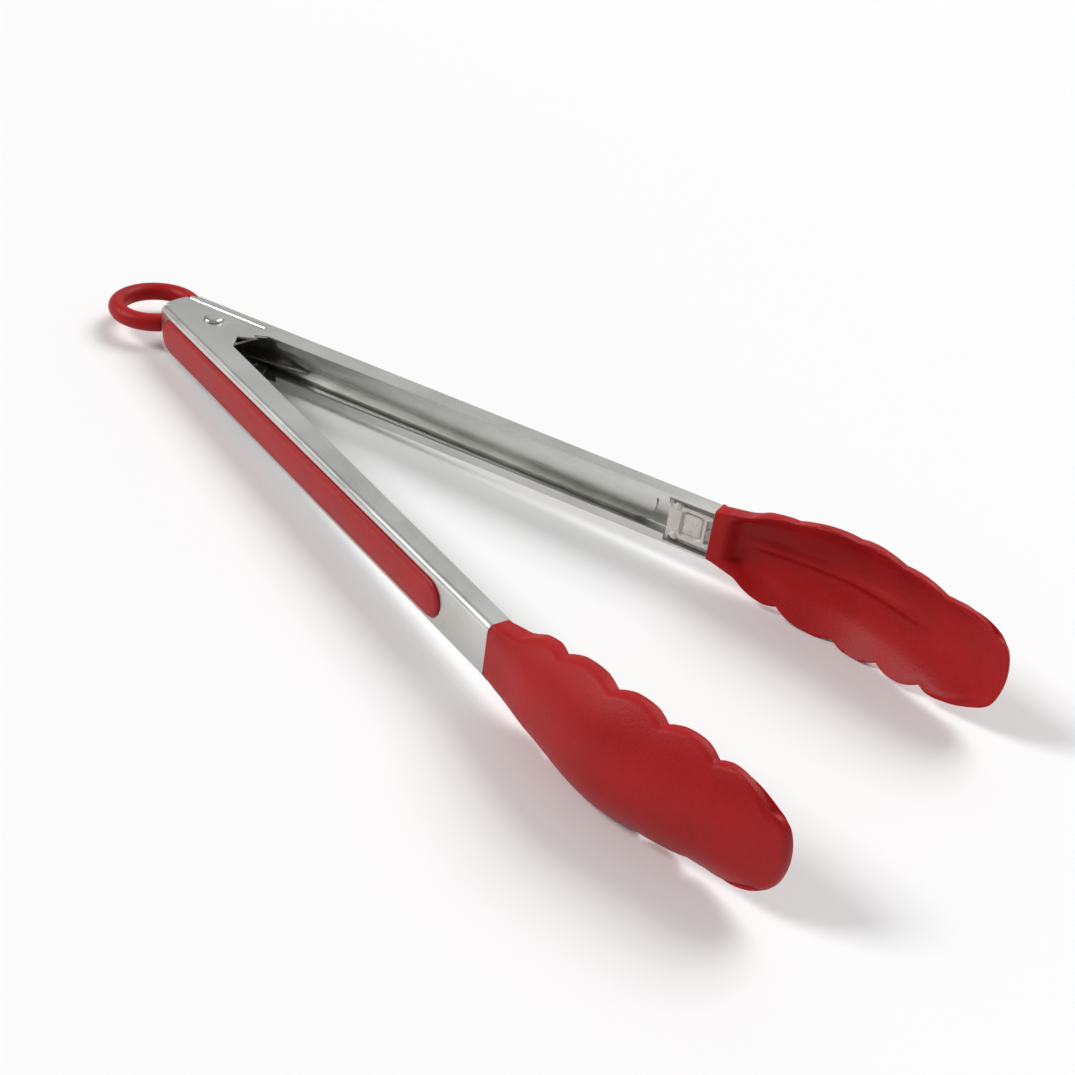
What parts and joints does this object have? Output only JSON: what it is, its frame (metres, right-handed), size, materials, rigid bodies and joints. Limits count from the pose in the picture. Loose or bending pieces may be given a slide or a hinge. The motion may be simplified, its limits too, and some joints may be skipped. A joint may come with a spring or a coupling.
{
  "type": "spring loaded kitchen tongs",
  "caption": "Spring loaded kitchen tongs with channel steel arms, inset silicone grips, scalloped silicone heads and a pull ring that works a sliding lock.",
  "frame": {"origin": "centre of the hanging hole in the pull ring, at mid height, with the ring pushed in", "axes": "+X from the ring towards the tips along the middle of the opening; +Z along the rivet and the hanging hole; +Y towards the inner arm"},
  "size_m": [0.3344, 0.127, 0.0376],
  "materials": {
    "arm_steel": "satin, brushed along the arm",
    "grip_silicone": "matt silicone",
    "head_silicone": "fine satin grain",
    "insert_nylon": "natural, slightly clear nylon",
    "rivet_steel": "polished",
    "washer_nylon": "moulded",
    "spring_steel": "drawn wire",
    "yoke_steel": "rolled sheet",
    "ring_silicone": "matt silicone"
  },
  "bodies": {
    "hinge": {"pivot_rivet": "rivet_steel", "upper_washer": "washer_nylon", "lower_washer": "washer_nylon", "spring_bush": "washer_nylon", "torsion_spring": "spring_steel"},
    "outer_side": {"outer_arm": "arm_steel", "outer_grip_pad": "grip_silicone", "outer_head_insert": "insert_nylon", "outer_head_shell": "head_silicone"},
    "inner_side": {"inner_arm": "arm_steel", "inner_grip_pad": "grip_silicone", "inner_head_insert": "insert_nylon", "inner_head_shell": "head_silicone"},
    "lock": {"lock_yoke": "yoke_steel", "pull_ring": "ring_silicone"}
  },
  "joints": [
    {"name": "outer_arm_hinge", "type": "hinge", "parent": "hinge", "child": "outer_side", "pos_m": [0.0346, 0, 0], "axis": [0, 0, 1], "range_deg": [0, 10], "stiffness_Nm_per_rad": 1, "springref_deg": -8.59, "deforming": ["torsion_spring"]},
    {"name": "inner_arm_hinge", "type": "hinge", "parent": "hinge", "child": "inner_side", "pos_m": [0.0346, 0, 0], "axis": [0, 0, 1], "range_deg": [-10, 0], "stiffness_Nm_per_rad": 1, "springref_deg": 8.59},
    {"name": "lock_slide", "type": "slide", "parent": "hinge", "child": "lock", "axis": [1, 0, 0], "range_m": [-0.008, 0]}
  ],
  "couplings": [
    {"joint": "inner_arm_hinge", "follows": "outer_arm_hinge", "ratio": -1}
  ]
}
